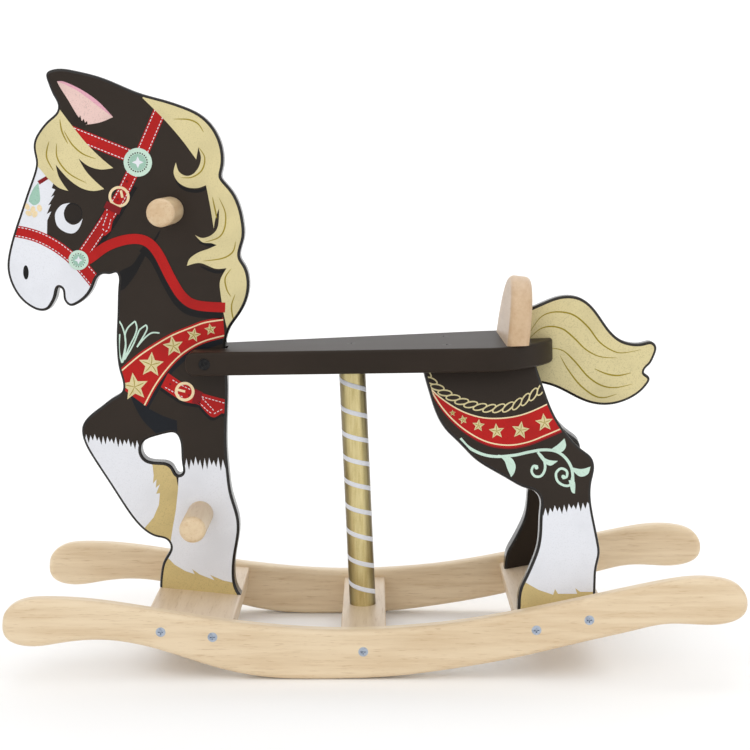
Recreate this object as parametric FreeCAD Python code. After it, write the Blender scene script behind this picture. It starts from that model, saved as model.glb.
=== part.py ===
import FreeCAD, Part
import math
import os

# Wooden rocking horse for a small child, in millimetres.
# The head points to -X and the tail to +X, the horse's left side is -Y, and Z is up.
# The origin is on the floor, midway between the muzzle and the rockers' rear tips, on the
# plane of symmetry.

# ---------------------------------------------------------------- overall sizes
BODY_LENGTH = 760.0        # tip to tip of the rockers
BODY_HEIGHT = 622.0        # floor to the top of the ear
TRACK = 220.0              # clear width between the rockers, and length of the cross blocks

# ---------------------------------------------------------------- board thicknesses
ROCKER_THICKNESS = 20.0
PANEL_THICKNESS = 20.0     # head, neck and front legs in one board
HAUNCH_THICKNESS = 18.0
TAIL_THICKNESS = 15.0
SEAT_THICKNESS = 25.0
BACKREST_THICKNESS = 23.0
BLOCK_THICKNESS = 25.0     # front and rear cross blocks
MIDDLE_BLOCK_THICKNESS = 29.0

# ---------------------------------------------------------------- rounded edges
ROCKER_ROUND = 6.0
BOARD_ROUND = 3.0
BLOCK_ROUND = 2.0
BACKREST_ROUND = 6.0

# ---------------------------------------------------------------- turned parts
POLE_DIAMETER = 28.5
POLE_FOOT_RECESS = 10.0    # depth of the pole in the middle cross block
POLE_HEAD_RECESS = 8.0     # depth of the pole in the seat
GRIP_DIAMETER = 29.0
GRIP_LENGTH = 180.0
FOOT_PEG_DIAMETER = 28.0
FOOT_PEG_LENGTH = 180.0
PEG_END_ROUND = 6.0

# ---------------------------------------------------------------- seat and backrest
SEAT_FRONT_WIDTH = 96.0    # across the fork, at the back edge of the neck
SEAT_REAR_WIDTH = 166.0    # where the rounded rear end begins
SEAT_STRAIGHT = 272.0      # from the neck to where the rear end begins to round
FORK_REACH = 41.0          # how far the arms reach forward of the neck's back edge
FORK_END_ROUND = 9.0
FORK_CLEARANCE = 0.5       # between an arm and the neck
NECK_GAP = 0.8             # between the fork's root and the neck's back edge
BACKREST_WIDTH = 150.0
BACKREST_HEIGHT = 69.0
BACKREST_LEAN = 8.5        # degrees
BACKREST_STATION = 295.0   # from the neck's back edge, along the seat, to its front face

# ---------------------------------------------------------------- tail and rump block
TAIL_CLEARANCE = 0.3       # each side of the tail in its slots
TAIL_BEHIND_BACKREST = 7.0
TAIL_RISE = 32.5           # height of the tail's front edge above the seat
TAIL_ROOT_DEPTH = 22.0     # depth of the tail's root below the seat
TAIL_ROOT_REACH = 48.0     # how far the root runs forward under the seat
ROOT_RELIEF = 1.5          # under the root in the rump block's slot
RUMP_BLOCK_FRONT = 20.0    # solid part of the block in front of the root
RUMP_BLOCK_REAR = 5.0      # how far the block stops short of the seat's slot
RUMP_BLOCK_HEIGHT = 34.0

# ---------------------------------------------------------------- haunches
HAUNCH_TOP_OFFSET = 46.0   # outer face from the plane of symmetry, under the seat
HAUNCH_FOOT_OFFSET = 94.0  # the same at the hoof

# ---------------------------------------------------------------- fasteners
SCREW_HEAD = 10.0
SCREW_SHANK = 5.0
SCREW_TIP = 4.0            # length of the pointed end
RECESS_WIDTH = 1.3         # arm of the cross recess
RECESS_LENGTH = 5.4
RECESS_DEPTH = 1.9
SIDE_SCREW_LENGTH = 50.0   # through a rocker into a cross block
FOOT_SCREW_LENGTH = 55.0   # up through a cross block
SEAT_SCREW_LENGTH = 50.0   # down through the seat
BACKREST_SCREW_LENGTH = 50.0
RUMP_SCREW_LENGTH = 48.0
BOLT_HEAD = 12.0
BOLT_HEAD_HEIGHT = 3.0
BOLT_SLEEVE = 8.0
BOLT_THREAD = 6.0
HEX_KEY = 4.0
HEX_DEPTH = 2.0
BOLT_REACH = 20.5          # how far in front of the neck's back edge the bolt sits
BOLT_PROUD = 1.0           # how far its heads stand out of the arms
BOLT_GRIP = 28.0           # thread beyond the plane of symmetry
BOLT_GAP = 2.0             # from the sleeve's end to the plane of symmetry
DOWEL_DIAMETER = 8.0
DOWEL_LENGTH = 36.0
DOWEL_OFFSET = 20.0        # backrest's dowels from the plane of symmetry
BACKREST_SCREW_OFFSET = 58.0
RUMP_SCREW_OFFSET = 14.0
HAUNCH_SCREW_X = (76.0, 146.0)

# ---------------------------------------------------------------- drawing grid
# Every outline is drawn once at this length and height, and stretches with the overall sizes.
DRAWN_LENGTH = 760.0
DRAWN_HEIGHT = 622.0
DRAWN_MIDDLE = -5.3        # drawn x that lies midway between the muzzle and the rear tips

# Rocker: upper edge from the front tip to the rear tip, and lower edge back again.
ROCKER_UPPER = [(-380, 60), (-375, 73), (-360, 82), (-338, 84.5), (-300, 83), (-240, 75),
                (-180, 65), (-120, 57), (-50, 52), (20, 53.5), (80, 59), (140, 69),
                (230, 88), (290, 101), (325, 106), (350, 105), (370, 98.5), (380, 84)]
ROCKER_LOWER = [(380, 84), (375.5, 66), (359, 58.5), (325, 57.5), (295, 57.5), (265, 51),
                (220, 40.5), (150, 23.5), (80, 10.5), (10, 2), (-56, 0), (-110, 1.8),
                (-160, 11.5), (-205, 26), (-240, 36), (-275, 41), (-320, 38),
                (-356, 34.5), (-374, 40.5), (-380, 60)]

# Head, neck and front legs: from the heel of the standing hoof up the back of the
# neck and the mane, over the ear, down the face, and down the raised leg to the toe.
PANEL_OUTLINE = [(-146, 56), (-151.5, 67), (-153, 82), (-151, 103), (-147, 127), (-147.5, 142),
                 (-154.5, 168), (-157.5, 190), (-159.5, 220), (-158.5, 260), (-158, 300),
                 (-158.5, 338), (-154, 350), (-145.5, 362), (-137.5, 376), (-133.5, 391), (-134, 406),
                 (-138, 417), (-142.5, 425), (-142, 433), (-138.5, 445), (-138.5, 461),
                 (-142, 478), (-150, 495), (-158, 504.5), (-161.5, 510), (-160.5, 517),
                 (-159, 530), (-162, 547), (-170, 562.5), (-183, 575), (-202, 584),
                 (-224, 591), (-246, 597), (-266, 605), (-290, 614.5), (-315, 620.5),
                 (-334, 622), (-343.5, 617.5), (-342, 607), (-337, 594.5), (-332.5, 584),
                 (-333.5, 578.5), (-342, 570), (-352, 559), (-358.5, 547), (-359, 536),
                 (-357.3, 526), (-359.5, 514), (-366, 497), (-374, 475), (-382, 453),
                 (-388.5, 431), (-390.7, 413), (-386, 394), (-378, 381), (-366, 371),
                 (-355, 367.5), (-348, 369.5), (-343.5, 375), (-339, 385.5), (-335.6, 392.6),
                 (-333.8, 391.6), (-332, 384), (-330, 377), (-325, 373), (-316, 375.5), (-306, 383.5),
                 (-299, 395), (-294, 404.5), (-289, 407), (-281, 407), (-274.8, 408.2),
                 (-272.9, 405), (-272.9, 396),
                 (-274.5, 370), (-276, 345), (-276, 320), (-273.5, 302), (-270.5, 290),
                 (-271.5, 281), (-280.5, 274.5), (-294, 264.5), (-307, 254.5), (-315, 243),
                 (-314.5, 229), (-308, 214), (-294, 191), (-275, 160), (-258, 135.5),
                 (-248, 126), (-237, 120.5), (-226, 117), (-222.5, 111), (-229, 96),
                 (-233.5, 79), (-234.6, 65)]

# Gap between the raised leg and the standing leg, from its top left corner.
LEG_GAP = [(-252, 219), (-248, 227), (-238, 231.5), (-225, 235), (-215, 235), (-210.5, 228),
           (-209, 214), (-208, 200), (-209, 191), (-212.5, 190), (-218, 197.5),
           (-225.5, 203), (-236, 204), (-246.5, 206.5)]

# Hind leg, seen square to its board: front edge from the seat down to the toe,
# and rear edge from the heel up to the seat.
HAUNCH_FRONT = [(48.5, 322), (52.5, 303), (58, 284), (64.5, 265), (75.5, 247), (88.5, 234.5),
                (104.5, 218.5), (123, 206.5), (141, 196.5), (158, 188), (168, 184.5), (173, 178), (173, 164),
                (172, 146), (169.5, 128), (164, 113), (157, 98), (151, 85), (149, 68),
                (148, 52)]
HAUNCH_REAR = [(229, 52), (229.5, 70), (230.5, 90), (232, 108), (235, 122), (234, 132),
               (231.5, 145), (228, 163), (226, 180), (227.5, 196), (230, 210), (227, 219.5),
               (218, 227), (207.5, 236.5), (197, 249.5), (187, 266.5), (179, 287), (172.5, 306),
               (166.5, 326)]

# Tail: from its root on the seat over the top, round both tips and back under the seat.
TAIL_OUTLINE = [(185, 379), (197, 383), (209, 384), (221, 381), (232, 373), (243, 359),
                (256, 342.5), (265, 336), (275, 333), (288, 333.3), (297, 334.5), (302, 330),
                (300.5, 319), (295, 309), (290.5, 304), (290, 301), (293, 298.5),
                (296, 294.5), (293.5, 288), (284, 278), (268, 269.3), (250, 265.6), (229, 268.7),
                (210, 277.5), (192, 286), (175, 289.8), (148, 290.3)]

# Working points on the drawing grid.
FRONT_BLOCK_TOP = [(-234.6, 65.0), (-146.0, 56.0)]
MIDDLE_BLOCK_TOP = [(-35.0, 44.5), (12.0, 44.5)]
REAR_BLOCK_TOP = [(145.0, 61.5), (234.0, 79.0)]
SEAT_TOP = [(-158.5, 328.0), (190.0, 338.8)]
POLE_FOOT_X = -13.0
POLE_HEAD_X = -25.0
GRIP_CENTRE = (-216.5, 474.5)
FOOT_PEG_CENTRE = (-189.0, 147.0)
SIDE_SCREW_INSET = 18.0    # from a cross block's edge to its screw
REACH = 2000.0             # larger than the whole horse, for cutting planes


def vec(x, y, z):
    return FreeCAD.Vector(x, y, z)


def grid(x, z, y=0.0):
    """Point of the drawing grid, stretched to the overall sizes."""
    across = (x - DRAWN_MIDDLE) * BODY_LENGTH / DRAWN_LENGTH
    return vec(across, y, z * BODY_HEIGHT / DRAWN_HEIGHT)


def smooth(points):
    """Smooth edge through points in space."""
    spline = Part.BSplineCurve()
    spline.interpolate(points)
    return spline.toShape()


def curve(points):
    """Smooth edge through points of the drawing grid."""
    return smooth([grid(x, z) for x, z in points])


def loop(points):
    """Smooth closed edge through points of the drawing grid."""
    spline = Part.BSplineCurve()
    spline.interpolate([grid(x, z) for x, z in points], PeriodicFlag=True)
    return spline.toShape()


def board(edges, thickness):
    """Board of the outline given at y = 0, centred on that plane."""
    face = Part.Face(Part.Wire(edges))
    solid = face.extrude(vec(0, thickness, 0))
    solid.translate(vec(0, -thickness / 2, 0))
    return solid


def is_curved(edge):
    return not isinstance(edge.Curve, Part.Line)


def round_outline(solid, radius, thickness, keep=is_curved):
    """Round the long edges on both faces of a board that lies in the XZ plane."""
    edges = []
    for edge in solid.Edges:
        box = edge.BoundBox
        flat = box.YLength < 0.01
        on_face = abs(abs(box.YMin) - thickness / 2) < 0.01
        if flat and on_face and keep(edge):
            edges.append(edge)
    return solid.makeFillet(radius, edges)


class Bevel:
    """A sloping line of the drawing grid, with its direction, normal and length."""

    def __init__(self, ends):
        self.start = grid(*ends[0])
        self.end = grid(*ends[1])
        self.along = (self.end - self.start).normalize()
        self.up = vec(-self.along.z, 0, self.along.x)
        self.length = (self.end - self.start).Length

    def at(self, distance, below=0.0, y=0.0):
        """Point at a distance along the line and a depth under it."""
        return self.start + self.along * distance - self.up * below + vec(0, y, 0)

    def station(self, x):
        """Distance along the line to a place given by its x on the grid."""
        return (grid(x, 0).x - self.start.x) / self.along.x

    def place(self, shape):
        """Move a shape drawn at the origin so that its x runs along the line."""
        slope = math.degrees(math.atan2(self.along.z, self.along.x))
        placed = shape.copy()
        placed.rotate(vec(0, 0, 0), vec(0, 1, 0), -slope)
        placed.translate(self.start)
        return placed

    def box(self, first, last, top, bottom, half_width):
        """Box between two distances and two depths, centred across the horse."""
        corner = vec(first, -half_width, -bottom)
        return self.place(Part.makeBox(last - first, 2 * half_width, bottom - top, corner))

    def below(self, depth):
        """Everything deeper than a depth under the line."""
        return self.box(-REACH, REACH, depth, REACH, REACH)

    def above(self, depth):
        """Everything higher than a depth under the line."""
        return self.box(-REACH, REACH, -REACH, depth, REACH)


seat_line = Bevel(SEAT_TOP)
front_line = Bevel(FRONT_BLOCK_TOP)
middle_line = Bevel(MIDDLE_BLOCK_TOP)
rear_line = Bevel(REAR_BLOCK_TOP)
tail_station = BACKREST_STATION + BACKREST_THICKNESS + TAIL_BEHIND_BACKREST


# ---------------------------------------------------------------- fasteners
def turned(profile):
    """Solid turned about Z from a half profile of (radius, height) points."""
    points = [vec(radius, 0, height) for radius, height in profile]
    face = Part.Face(Part.makePolygon(points + points[:1]))
    return face.revolve(vec(0, 0, 0), vec(0, 0, 1), 360)


def aimed(shape, start, direction):
    """Move a shape drawn along +Z so that it starts at a point and runs in a direction."""
    placed = shape.copy()
    turn = FreeCAD.Rotation(vec(0, 0, 1), direction)
    placed.Placement = FreeCAD.Placement(start, turn)
    return placed


def screw_blank(length):
    """Countersunk screw without its recess, head at the origin and point along +Z."""
    head = SCREW_HEAD / 2
    shank = SCREW_SHANK / 2
    profile = [(0, 0), (head, 0), (head, 0.6), (shank, 0.6 + head - shank),
               (shank, length - SCREW_TIP), (0, length)]
    return turned(profile)


def cross_recess():
    """Cross-shaped socket for a screwdriver, sunk from z = 0."""
    half = RECESS_WIDTH / 2
    bar = Part.makeBox(RECESS_LENGTH, RECESS_WIDTH, RECESS_DEPTH,
                       vec(-RECESS_LENGTH / 2, -half, 0))
    other = bar.copy()
    other.rotate(vec(0, 0, 0), vec(0, 0, 1), 90)
    return bar.fuse(other)


def drive(start, direction, length, targets):
    """Sink a screw into the named pieces and return it."""
    blank = aimed(screw_blank(length), start, direction)
    for name in targets:
        pieces[name] = pieces[name].cut(blank)
    return blank.cut(aimed(cross_recess(), start, direction))


def insert_rod(start, direction, diameter, length, targets):
    """Bore the named pieces for a plain rod and return the rod."""
    rod = Part.makeCylinder(diameter / 2, length, start, direction)
    for name in targets:
        pieces[name] = pieces[name].cut(rod)
    return rod


# ---------------------------------------------------------------- rockers and cross blocks
def make_rocker(side):
    """Rocker board, with side -1 for the horse's left and 1 for its right."""
    blank = board([curve(ROCKER_UPPER), curve(ROCKER_LOWER)], ROCKER_THICKNESS)
    rounded = round_outline(blank, ROCKER_ROUND, ROCKER_THICKNESS)
    rounded.translate(vec(0, side * (TRACK + ROCKER_THICKNESS) / 2, 0))
    return rounded


def make_block(line, thickness):
    """Cross block under a sloping line, between the rockers, with eased long edges."""
    block = line.box(0, line.length, 0, thickness, TRACK / 2)
    long_edges = [edge for edge in block.Edges if edge.BoundBox.YLength > TRACK - 1]
    return block.makeFillet(BLOCK_ROUND, long_edges)


pieces = {}
pieces["rocker_left"] = make_rocker(-1)
pieces["rocker_right"] = make_rocker(1)
pieces["front_cross_block"] = make_block(front_line, BLOCK_THICKNESS)
pieces["middle_cross_block"] = make_block(middle_line, MIDDLE_BLOCK_THICKNESS)
pieces["rear_cross_block"] = make_block(rear_line, BLOCK_THICKNESS)


# ---------------------------------------------------------------- front panel
def make_front_panel():
    """Head, neck and both front legs, cut from one board, with the gap between the legs."""
    foot = Part.makeLine(grid(*PANEL_OUTLINE[-1]), grid(*PANEL_OUTLINE[0]))
    panel = board([curve(PANEL_OUTLINE), foot], PANEL_THICKNESS)
    gap = board([loop(LEG_GAP)], PANEL_THICKNESS)
    return round_outline(panel.cut(gap), BOARD_ROUND, PANEL_THICKNESS)


pieces["front_panel"] = make_front_panel()


# ---------------------------------------------------------------- seat
def make_seat():
    """Seat board: fork in front round the neck, rounded rear end with a slot for the tail."""
    length = seat_line.length
    front = SEAT_FRONT_WIDTH / 2
    rear = SEAT_REAR_WIDTH / 2
    taper = (rear - front) / SEAT_STRAIGHT
    tip = front - taper * FORK_REACH
    side = [vec(-FORK_REACH, -tip, 0), vec(SEAT_STRAIGHT, -rear, 0)]
    other = [vec(point.x, -point.y, 0) for point in reversed(side)]
    end = Part.BSplineCurve()
    shoulder = (length - SEAT_STRAIGHT) * 0.62
    end.interpolate([side[1], vec(SEAT_STRAIGHT + shoulder, -rear * 0.74, 0), vec(length, 0, 0),
                     vec(SEAT_STRAIGHT + shoulder, rear * 0.74, 0), other[0]],
                    InitialTangent=vec(1, -taper, 0), FinalTangent=vec(-1, -taper, 0))
    outline = [Part.makeLine(side[0], side[1]), end.toShape(),
               Part.makeLine(other[0], other[1]), Part.makeLine(other[1], side[0])]
    plank = Part.Face(Part.Wire(outline)).extrude(vec(0, 0, -SEAT_THICKNESS))
    ends = [edge for edge in plank.Edges
            if edge.BoundBox.YLength > 2 * tip - 1 and edge.BoundBox.XMax < 0]
    plank = plank.makeFillet(FORK_END_ROUND, ends)
    long_edges = [edge for edge in plank.Edges
                  if edge.BoundBox.ZLength < 0.01 and edge.BoundBox.XLength > 30]
    plank = plank.makeFillet(BOARD_ROUND, long_edges)
    fork_gap = PANEL_THICKNESS / 2 + FORK_CLEARANCE
    fork = Part.makeBox(REACH, 2 * fork_gap, REACH, vec(NECK_GAP - REACH, -fork_gap, -REACH / 2))
    slot_half = TAIL_THICKNESS / 2 + TAIL_CLEARANCE
    slot = Part.makeBox(REACH, 2 * slot_half, REACH, vec(tail_station, -slot_half, -REACH / 2))
    return seat_line.place(plank.cut(fork).cut(slot))


pieces["seat_board"] = make_seat()


# ---------------------------------------------------------------- backrest
def make_backrest():
    """Arched backrest that stands on the seat and leans back a little."""
    half = BACKREST_WIDTH / 2
    arch = Part.Ellipse(vec(0, 0, 0), max(half, BACKREST_HEIGHT), min(half, BACKREST_HEIGHT)).toShape()
    if BACKREST_HEIGHT > half:
        arch.rotate(vec(0, 0, 0), vec(0, 0, 1), 90)
    solid = Part.Face(Part.Wire([arch])).extrude(vec(0, 0, BACKREST_THICKNESS))
    solid.rotate(vec(0, 0, 0), vec(1, 0, 0), 90)
    solid.rotate(vec(0, 0, 0), vec(0, 0, 1), 90)
    rims = [edge for edge in solid.Edges if edge.BoundBox.XLength < 0.01]
    solid = solid.makeFillet(BACKREST_ROUND, rims)
    solid.rotate(vec(0, 0, 0), vec(0, 1, 0), BACKREST_LEAN)
    solid.translate(vec(BACKREST_STATION, 0, 0))
    return seat_line.place(solid).cut(seat_line.below(0))


pieces["backrest"] = make_backrest()


# ---------------------------------------------------------------- haunches
seat_underside = seat_line.at(seat_line.station(110), SEAT_THICKNESS).z
hoof_height = rear_line.at(rear_line.length / 2).z
haunch_spread = HAUNCH_FOOT_OFFSET - HAUNCH_TOP_OFFSET
haunch_lean = math.atan2(haunch_spread, seat_underside - hoof_height)


def leaned(points):
    """Outline points of a haunch, measured up the leaning board from its hoof."""
    drawn_hoof = hoof_height * DRAWN_HEIGHT / BODY_HEIGHT
    return [(x, (z - drawn_hoof) / math.cos(haunch_lean)) for x, z in points]


def haunch_middle(height):
    """Distance from the plane of symmetry to the middle of a haunch at a height."""
    outer = HAUNCH_FOOT_OFFSET - (height - hoof_height) * math.tan(haunch_lean)
    return outer - HAUNCH_THICKNESS / 2 / math.cos(haunch_lean)


def make_haunch(side):
    """Hind leg board: leaning outwards, mitred under the seat and on the rear block."""
    front = leaned(HAUNCH_FRONT)
    rear = leaned(HAUNCH_REAR)
    sole = Part.makeLine(grid(*front[-1]), grid(*rear[0]))
    top = Part.makeLine(grid(*rear[-1]), grid(*front[0]))
    blank = board([curve(front), sole, curve(rear), top], HAUNCH_THICKNESS)
    haunch = round_outline(blank, BOARD_ROUND, HAUNCH_THICKNESS)
    haunch.translate(vec(0, -side * HAUNCH_THICKNESS / 2, 0))
    haunch.rotate(vec(0, 0, 0), vec(1, 0, 0), side * math.degrees(haunch_lean))
    haunch.translate(vec(0, side * HAUNCH_FOOT_OFFSET, hoof_height))
    return haunch.cut(seat_line.above(SEAT_THICKNESS)).cut(rear_line.below(0))


pieces["haunch_left"] = make_haunch(-1)
pieces["haunch_right"] = make_haunch(1)


def outside_haunch(side):
    """Everything on the outer side of a haunch's inner face."""
    middle = haunch_middle(hoof_height)
    inner = middle - HAUNCH_THICKNESS / 2 / math.cos(haunch_lean)
    space = Part.makeBox(2 * REACH, REACH, 2 * REACH, vec(-REACH, 0, -REACH))
    if side < 0:
        space.translate(vec(0, -REACH, 0))
    space.rotate(vec(0, 0, 0), vec(1, 0, 0), side * math.degrees(haunch_lean))
    space.translate(vec(0, side * inner, hoof_height))
    return space


def between_haunches(shape):
    """Trim a shape to the tapering space between the haunches."""
    return shape.cut(outside_haunch(-1)).cut(outside_haunch(1))


# ---------------------------------------------------------------- tail and rump block
root_bottom = SEAT_THICKNESS + TAIL_ROOT_DEPTH
root_front = tail_station - TAIL_ROOT_REACH


def make_tail():
    """Tail board: rises through the seat's slot, with a root in the rump block under it."""
    front = tail_station + TAIL_CLEARANCE
    corners = [seat_line.at(root_front + TAIL_CLEARANCE, root_bottom),
               seat_line.at(root_front + TAIL_CLEARANCE, SEAT_THICKNESS),
               seat_line.at(front, SEAT_THICKNESS),
               seat_line.at(front, -TAIL_RISE)]
    points = [corners[-1]] + [grid(x, z) for x, z in TAIL_OUTLINE] + [corners[0]]
    edges = [smooth(points)]
    for first, last in zip(corners, corners[1:]):
        edges.append(Part.makeLine(first, last))
    return round_outline(board(edges, TAIL_THICKNESS), BOARD_ROUND, TAIL_THICKNESS)


def make_rump_block():
    """Glue block under the seat between the haunches, with a slot for the tail's root."""
    rear = tail_station - RUMP_BLOCK_REAR
    block = seat_line.box(root_front - RUMP_BLOCK_FRONT, rear, SEAT_THICKNESS,
                          SEAT_THICKNESS + RUMP_BLOCK_HEIGHT, REACH)
    slot = seat_line.box(root_front, REACH, SEAT_THICKNESS, root_bottom + ROOT_RELIEF,
                         TAIL_THICKNESS / 2 + TAIL_CLEARANCE)
    return between_haunches(block).cut(slot)


pieces["tail_board"] = make_tail()
pieces["rump_block"] = make_rump_block()

pin_centre = seat_line.at(root_front + TAIL_ROOT_REACH / 2, SEAT_THICKNESS + TAIL_ROOT_DEPTH / 2)
pin = between_haunches(Part.makeCylinder(DOWEL_DIAMETER / 2, TRACK, pin_centre - vec(0, TRACK / 2, 0),
                                         vec(0, 1, 0)))
pieces["tail_board"] = pieces["tail_board"].cut(pin)
pieces["rump_block"] = pieces["rump_block"].cut(pin)
pieces["tail_pin"] = pin


# ---------------------------------------------------------------- pole
pole_foot = middle_line.at(middle_line.station(POLE_FOOT_X))
pole_head = seat_line.at(seat_line.station(POLE_HEAD_X), SEAT_THICKNESS)
pole_axis = (pole_head - pole_foot).normalize()
pole_length = (pole_head - pole_foot).Length + POLE_FOOT_RECESS + POLE_HEAD_RECESS
pieces["pole"] = insert_rod(pole_foot - pole_axis * POLE_FOOT_RECESS, pole_axis, POLE_DIAMETER,
                            pole_length, ["middle_cross_block", "seat_board"])


# ---------------------------------------------------------------- hand grip and foot peg
def make_peg(centre, diameter, length):
    """Rod across the front panel with rounded ends, pushed through a bore."""
    start = grid(*centre) - vec(0, length / 2, 0)
    rod = insert_rod(start, vec(0, 1, 0), diameter, length, ["front_panel"])
    rims = [edge for edge in rod.Edges if edge.BoundBox.YLength < 0.01]
    return rod.makeFillet(PEG_END_ROUND, rims)


pieces["hand_grip"] = make_peg(GRIP_CENTRE, GRIP_DIAMETER, GRIP_LENGTH)
pieces["foot_peg"] = make_peg(FOOT_PEG_CENTRE, FOOT_PEG_DIAMETER, FOOT_PEG_LENGTH)


# ---------------------------------------------------------------- bolt through the fork and neck
def hexagon(across_flats, depth):
    """Hexagonal socket sunk from z = 0."""
    radius = across_flats / math.sqrt(3)
    corners = [vec(radius * math.cos(math.radians(60 * step)),
                   radius * math.sin(math.radians(60 * step)), 0) for step in range(7)]
    return Part.Face(Part.makePolygon(corners)).extrude(vec(0, 0, depth))


def make_fork_bolt():
    """Bolt from the left and sleeve nut from the right that pinch the neck in the fork."""
    taper = (SEAT_REAR_WIDTH - SEAT_FRONT_WIDTH) / 2 / SEAT_STRAIGHT
    face = SEAT_FRONT_WIDTH / 2 - taper * BOLT_REACH + BOLT_PROUD
    head = BOLT_HEAD / 2
    sleeve = BOLT_SLEEVE / 2
    thread = BOLT_THREAD / 2
    bolt = turned([(0, 0), (head, 0), (head, BOLT_HEAD_HEIGHT), (sleeve, BOLT_HEAD_HEIGHT),
                   (sleeve, face), (thread, face), (thread, face + BOLT_GRIP), (0, face + BOLT_GRIP)])
    barrel = face - BOLT_GAP
    nut = turned([(0, 0), (head, 0), (head, BOLT_HEAD_HEIGHT), (sleeve, BOLT_HEAD_HEIGHT),
                  (sleeve, barrel), (0, barrel)])
    centre = seat_line.at(-BOLT_REACH, SEAT_THICKNESS / 2)
    near = centre - vec(0, face, 0)
    far = centre + vec(0, face, 0)
    bolt = aimed(bolt.cut(hexagon(HEX_KEY, HEX_DEPTH)), near, vec(0, 1, 0))
    nut = aimed(nut, far, vec(0, -1, 0))
    socket = aimed(hexagon(HEX_KEY, HEX_DEPTH), far, vec(0, -1, 0))
    hole = aimed(turned([(0, 0), (head, 0), (head, BOLT_HEAD_HEIGHT), (sleeve, BOLT_HEAD_HEIGHT),
                         (sleeve, 2 * face - BOLT_HEAD_HEIGHT), (head, 2 * face - BOLT_HEAD_HEIGHT),
                         (head, 2 * face), (0, 2 * face)]), near, vec(0, 1, 0))
    for name in ("seat_board", "front_panel"):
        pieces[name] = pieces[name].cut(hole)
    return bolt, nut.cut(bolt).cut(socket)


pieces["fork_bolt"], pieces["fork_sleeve_nut"] = make_fork_bolt()


# ---------------------------------------------------------------- screws and dowels
def side_screws():
    """Screws through both rockers into the ends of the cross blocks."""
    places = []
    for line, thickness, name in ((front_line, BLOCK_THICKNESS, "front_cross_block"),
                                  (rear_line, BLOCK_THICKNESS, "rear_cross_block")):
        for distance in (SIDE_SCREW_INSET, line.length - SIDE_SCREW_INSET):
            places.append((line.at(distance, thickness / 2), name))
    middle = middle_line.at(middle_line.length / 2, MIDDLE_BLOCK_THICKNESS / 2)
    places.append((middle, "middle_cross_block"))
    screws = []
    for side, rocker in ((-1, "rocker_left"), (1, "rocker_right")):
        outer = side * (TRACK / 2 + ROCKER_THICKNESS)
        for point, name in places:
            start = point + vec(0, outer, 0)
            screws.append(drive(start, vec(0, -side, 0), SIDE_SCREW_LENGTH, [rocker, name]))
    return screws


def panel_foot_screws():
    """Screws up through the front cross block into the panel's foot."""
    return [drive(front_line.at(front_line.length * share, BLOCK_THICKNESS), front_line.up,
                  FOOT_SCREW_LENGTH, ["front_cross_block", "front_panel"])
            for share in (0.25, 0.75)]


def pole_screws():
    """One screw down through the seat and one up through the middle block, into the pole."""
    head = seat_line.at(seat_line.station(POLE_HEAD_X))
    foot = middle_line.at(middle_line.station(POLE_FOOT_X), MIDDLE_BLOCK_THICKNESS)
    return [drive(head, -seat_line.up, SEAT_SCREW_LENGTH, ["seat_board", "pole"]),
            drive(foot, middle_line.up, SEAT_SCREW_LENGTH, ["middle_cross_block", "pole"])]


def hoof_screws():
    """Screws up through the rear cross block into the hind hooves."""
    screws = []
    across = haunch_middle(hoof_height + (FOOT_SCREW_LENGTH - BLOCK_THICKNESS) / 2)
    for side, haunch in ((-1, "haunch_left"), (1, "haunch_right")):
        for share in (0.33, 0.63):
            start = rear_line.at(rear_line.length * share, BLOCK_THICKNESS, side * across)
            screws.append(drive(start, rear_line.up, FOOT_SCREW_LENGTH, ["rear_cross_block", haunch]))
    return screws


def haunch_top_screws():
    """Screws down through the seat into the haunches."""
    screws = []
    across = haunch_middle(seat_underside - (SEAT_SCREW_LENGTH - SEAT_THICKNESS) / 2)
    for side, haunch in ((-1, "haunch_left"), (1, "haunch_right")):
        for x in HAUNCH_SCREW_X:
            start = seat_line.at(seat_line.station(x), 0, side * across)
            screws.append(drive(start, -seat_line.up, SEAT_SCREW_LENGTH, ["seat_board", haunch]))
    return screws


def backrest_middle():
    """Distance along the seat to the middle of the backrest's root."""
    return BACKREST_STATION + BACKREST_THICKNESS / 2 + 1.0


def backrest_screws():
    """Screws up through the seat into the backrest."""
    return [drive(seat_line.at(backrest_middle(), SEAT_THICKNESS, side * BACKREST_SCREW_OFFSET),
                  seat_line.up, BACKREST_SCREW_LENGTH, ["seat_board", "backrest"])
            for side in (-1, 1)]


def backrest_dowels():
    """Wooden pins between the seat and the backrest."""
    return [insert_rod(seat_line.at(backrest_middle(), DOWEL_LENGTH * 0.42, side * DOWEL_OFFSET),
                       seat_line.up, DOWEL_DIAMETER, DOWEL_LENGTH, ["seat_board", "backrest"])
            for side in (-1, 1)]


def rump_block_screws():
    """Screws up through the rump block into the seat."""
    depth = SEAT_THICKNESS + RUMP_BLOCK_HEIGHT
    station = root_front - RUMP_BLOCK_FRONT / 2
    return [drive(seat_line.at(station, depth, side * RUMP_SCREW_OFFSET), seat_line.up,
                  RUMP_SCREW_LENGTH, ["rump_block", "seat_board"])
            for side in (-1, 1)]


for group in (side_screws, panel_foot_screws, pole_screws, hoof_screws, haunch_top_screws,
              backrest_screws, backrest_dowels, rump_block_screws):
    name = "rocker_screws" if group is side_screws else group.__name__
    pieces[name] = Part.makeCompound(group())


# ---------------------------------------------------------------- output
os.makedirs("parts", exist_ok=True)
for name, shape in pieces.items():
    shape.exportStep("parts/" + name + ".step")
    print(name, len(shape.Solids), round(shape.Volume / 1000, 1), shape.isValid())
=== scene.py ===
"""Wooden rocking horse: printed boards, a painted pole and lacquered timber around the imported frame.

Lengths are in millimetres on the row frame (x along the horse, z up) until a mesh is made in metres.
"""

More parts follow.
